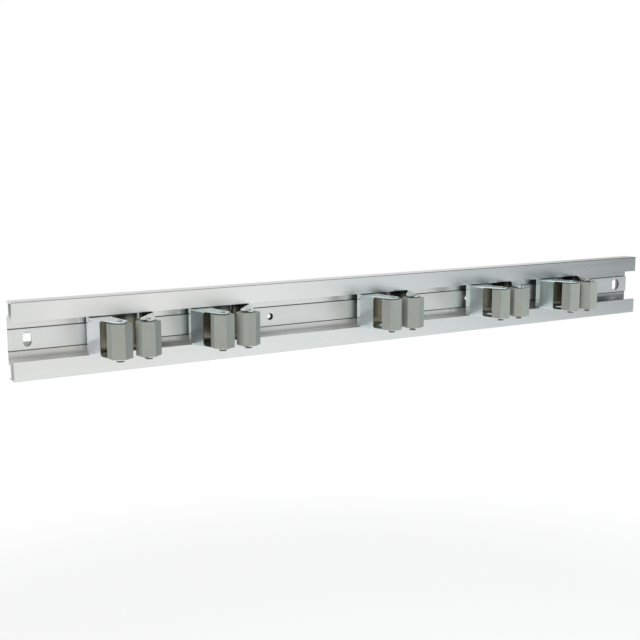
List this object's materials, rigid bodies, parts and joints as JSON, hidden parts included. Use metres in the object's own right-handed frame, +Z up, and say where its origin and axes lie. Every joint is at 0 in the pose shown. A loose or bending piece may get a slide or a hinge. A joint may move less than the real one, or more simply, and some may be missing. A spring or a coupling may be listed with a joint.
{
  "type": "wall tool holder",
  "caption": "Aluminium wall rail with sliding spring-steel clips that grip tool handles between hexagonal rubber rollers.",
  "frame": {"origin": "middle of the rail's length and height, on the wall plane", "axes": "+X along the rail to the right as seen from the room, +Y into the wall, +Z up"},
  "size_m": [1, 0.0803, 0.09],
  "materials": {
    "rail_aluminium": "satin anodised",
    "zinc_steel": "bright zinc plate",
    "nickel": "nickel plate",
    "grey_rubber": "smooth matt"
  },
  "bodies": {
    "rail": {"rail": "rail_aluminium"},
    "clip_1": {"clip_1_back_spring": "zinc_steel", "clip_1_left_arm": "zinc_steel", "clip_1_eyelets": "nickel", "clip_1_left_pin": "zinc_steel", "clip_1_right_pin": "zinc_steel"},
    "clip_1_left_roller": {"clip_1_left_roller": "grey_rubber"},
    "clip_1_right_roller": {"clip_1_right_roller": "grey_rubber"},
    "clip_2": {"clip_2_back_spring": "zinc_steel", "clip_2_left_arm": "zinc_steel", "clip_2_eyelets": "nickel", "clip_2_left_pin": "zinc_steel", "clip_2_right_pin": "zinc_steel"},
    "clip_2_left_roller": {"clip_2_left_roller": "grey_rubber"},
    "clip_2_right_roller": {"clip_2_right_roller": "grey_rubber"},
    "clip_3": {"clip_3_back_spring": "zinc_steel", "clip_3_left_arm": "zinc_steel", "clip_3_eyelets": "nickel", "clip_3_left_pin": "zinc_steel", "clip_3_right_pin": "zinc_steel"},
    "clip_3_left_roller": {"clip_3_left_roller": "grey_rubber"},
    "clip_3_right_roller": {"clip_3_right_roller": "grey_rubber"},
    "clip_4": {"clip_4_back_spring": "zinc_steel", "clip_4_left_arm": "zinc_steel", "clip_4_eyelets": "nickel", "clip_4_left_pin": "zinc_steel", "clip_4_right_pin": "zinc_steel"},
    "clip_4_left_roller": {"clip_4_left_roller": "grey_rubber"},
    "clip_4_right_roller": {"clip_4_right_roller": "grey_rubber"},
    "clip_5": {"clip_5_back_spring": "zinc_steel", "clip_5_left_arm": "zinc_steel", "clip_5_eyelets": "nickel", "clip_5_left_pin": "zinc_steel", "clip_5_right_pin": "zinc_steel"},
    "clip_5_left_roller": {"clip_5_left_roller": "grey_rubber"},
    "clip_5_right_roller": {"clip_5_right_roller": "grey_rubber"}
  },
  "joints": [
    {"name": "clip_1_slide", "type": "slide", "parent": "rail", "child": "clip_1", "axis": [1, 0, 0], "range_m": [-0.08, 0.021]},
    {"name": "clip_1_left_roller_turn", "type": "hinge", "parent": "clip_1", "child": "clip_1_left_roller", "pos_m": [-0.3923, -0.0658, 0], "axis": [0, 0, 1], "continuous": true},
    {"name": "clip_1_right_roller_turn", "type": "hinge", "parent": "clip_1", "child": "clip_1_right_roller", "pos_m": [-0.3577, -0.0658, 0], "axis": [0, 0, 1], "continuous": true},
    {"name": "clip_2_slide", "type": "slide", "parent": "rail", "child": "clip_2", "axis": [1, 0, 0], "range_m": [-0.021, 0.083]},
    {"name": "clip_2_left_roller_turn", "type": "hinge", "parent": "clip_2", "child": "clip_2_left_roller", "pos_m": [-0.2635, -0.0658, 0], "axis": [0, 0, 1], "continuous": true},
    {"name": "clip_2_right_roller_turn", "type": "hinge", "parent": "clip_2", "child": "clip_2_right_roller", "pos_m": [-0.2289, -0.0658, 0], "axis": [0, 0, 1], "continuous": true},
    {"name": "clip_3_slide", "type": "slide", "parent": "rail", "child": "clip_3", "axis": [1, 0, 0], "range_m": [-0.083, 0.052]},
    {"name": "clip_3_left_roller_turn", "type": "hinge", "parent": "clip_3", "child": "clip_3_left_roller", "pos_m": [-0.015, -0.0658, 0], "axis": [0, 0, 1], "continuous": true},
    {"name": "clip_3_right_roller_turn", "type": "hinge", "parent": "clip_3", "child": "clip_3_right_roller", "pos_m": [0.0196, -0.0658, 0], "axis": [0, 0, 1], "continuous": true},
    {"name": "clip_4_slide", "type": "slide", "parent": "rail", "child": "clip_4", "axis": [1, 0, 0], "range_m": [-0.052, 0.027]},
    {"name": "clip_4_left_roller_turn", "type": "hinge", "parent": "clip_4", "child": "clip_4_left_roller", "pos_m": [0.1753, -0.0658, 0], "axis": [0, 0, 1], "continuous": true},
    {"name": "clip_4_right_roller_turn", "type": "hinge", "parent": "clip_4", "child": "clip_4_right_roller", "pos_m": [0.2099, -0.0658, 0], "axis": [0, 0, 1], "continuous": true},
    {"name": "clip_5_slide", "type": "slide", "parent": "rail", "child": "clip_5", "axis": [1, 0, 0], "range_m": [-0.027, 0.12]},
    {"name": "clip_5_left_roller_turn", "type": "hinge", "parent": "clip_5", "child": "clip_5_left_roller", "pos_m": [0.3129, -0.0658, 0], "axis": [0, 0, 1], "continuous": true},
    {"name": "clip_5_right_roller_turn", "type": "hinge", "parent": "clip_5", "child": "clip_5_right_roller", "pos_m": [0.3475, -0.0658, 0], "axis": [0, 0, 1], "continuous": true}
  ]
}
